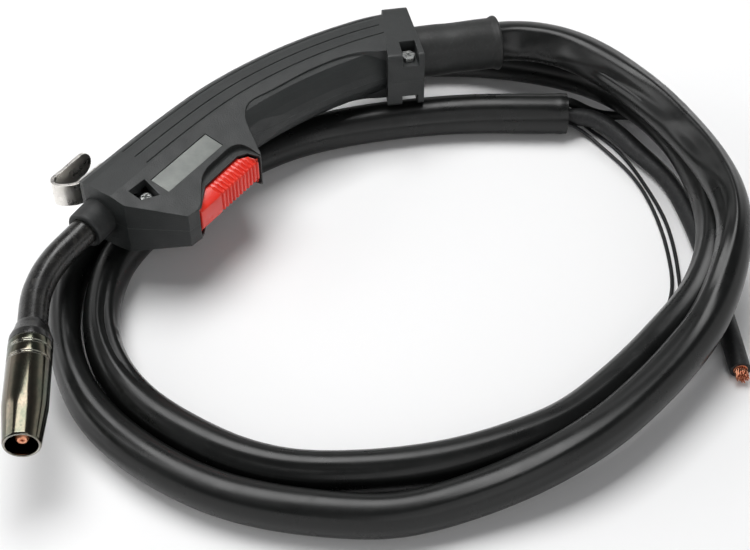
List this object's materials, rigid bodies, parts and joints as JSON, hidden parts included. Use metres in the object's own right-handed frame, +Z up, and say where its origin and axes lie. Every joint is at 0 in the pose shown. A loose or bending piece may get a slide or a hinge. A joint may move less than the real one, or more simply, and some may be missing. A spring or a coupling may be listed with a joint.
{
  "type": "mig welding torch",
  "caption": "Hand-held MIG welding torch with a swan neck, gas nozzle, ribbed trigger and hanging hook, on a coiled sheath that ends in a cut power cable, gas hose and switch leads.",
  "frame": {"origin": "bottom centre of the bounding box, on the floor the torch and its coiled cable set lie on", "axes": "+Z up, square to the floor and to the handle parting plane, which lies flat; +X from the swan neck side towards the strain relief and sheath end; +Y away from the gas nozzle mouth, towards the rear of the handle"},
  "size_m": [0.316, 0.3136, 0.0511],
  "materials": {
    "handle_plastic": "moulded, fine grain",
    "label_metal": "satin plate, blank",
    "bright_nickel": "polished nickel plate",
    "zinc_steel": "zinc plated",
    "collar_rubber": "matt moulded rubber",
    "neck_black": "glossy black sleeve",
    "neck_metal": "drawn tube",
    "liner_steel": "coiled wire",
    "copper": "copper",
    "trigger_red": "glossy moulded",
    "switch_plastic": "moulded",
    "button_plastic": "moulded",
    "sheath_pvc": "semi-gloss flexible hose",
    "cable_rubber": "matt jacket",
    "copper_strand": "stranded copper",
    "hose_black": "smooth hose",
    "lead_black": "thin wire insulation"
  },
  "bodies": {
    "torch": {"handle_shell_upper": "handle_plastic", "handle_shell_lower": "handle_plastic", "label_plate": "label_metal", "shell_screws": "zinc_steel", "shell_nuts": "zinc_steel", "hanging_hook": "bright_nickel", "hook_screws": "zinc_steel", "hook_nuts": "zinc_steel", "swan_neck_tube": "neck_metal", "neck_insulation": "neck_black", "wire_liner_neck": "liner_steel", "neck_collar": "collar_rubber", "nozzle_insulator": "neck_black", "tip_holder": "neck_metal", "nozzle_spring": "liner_steel", "neck_block": "neck_metal", "neck_clamp_screw": "zinc_steel", "gas_barb": "neck_metal", "trigger_pivot_pin": "zinc_steel", "microswitch_body": "switch_plastic", "microswitch_terminals": "neck_metal", "strain_relief_tube": "sheath_pvc", "outer_sheath": "sheath_pvc", "cable_ferrule": "copper", "power_cable_jacket": "cable_rubber", "power_cable_strands": "copper_strand", "gas_hose": "hose_black", "trigger_lead_a": "lead_black", "trigger_lead_b": "lead_black", "sheath_clamp_ring": "zinc_steel"},
    "trigger": {"trigger": "trigger_red", "trigger_spring": "liner_steel"},
    "switch_button": {"microswitch_button": "button_plastic"},
    "nozzle": {"gas_nozzle": "bright_nickel"},
    "tip": {"contact_tip": "copper"}
  },
  "joints": [
    {"name": "trigger_pivot", "type": "hinge", "parent": "torch", "child": "trigger", "pos_m": [-0.08852, -0.00293, 0.0358], "axis": [0, 0, 1], "range_deg": [0, 5]},
    {"name": "button_travel", "type": "slide", "parent": "torch", "child": "switch_button", "axis": [-0.8329, 0.5534, 0], "range_m": [0, 0.0022]},
    {"name": "nozzle_pull", "type": "slide", "parent": "torch", "child": "nozzle", "axis": [0.1063, -0.9943, 0], "range_m": [0, 0.06]},
    {"name": "tip_pull", "type": "slide", "parent": "torch", "child": "tip", "axis": [0.1063, -0.9943, 0], "range_m": [0, 0.012]}
  ],
  "couplings": [
    {"joint": "button_travel", "follows": "trigger_pivot", "m_per_rad": 0.016942}
  ]
}
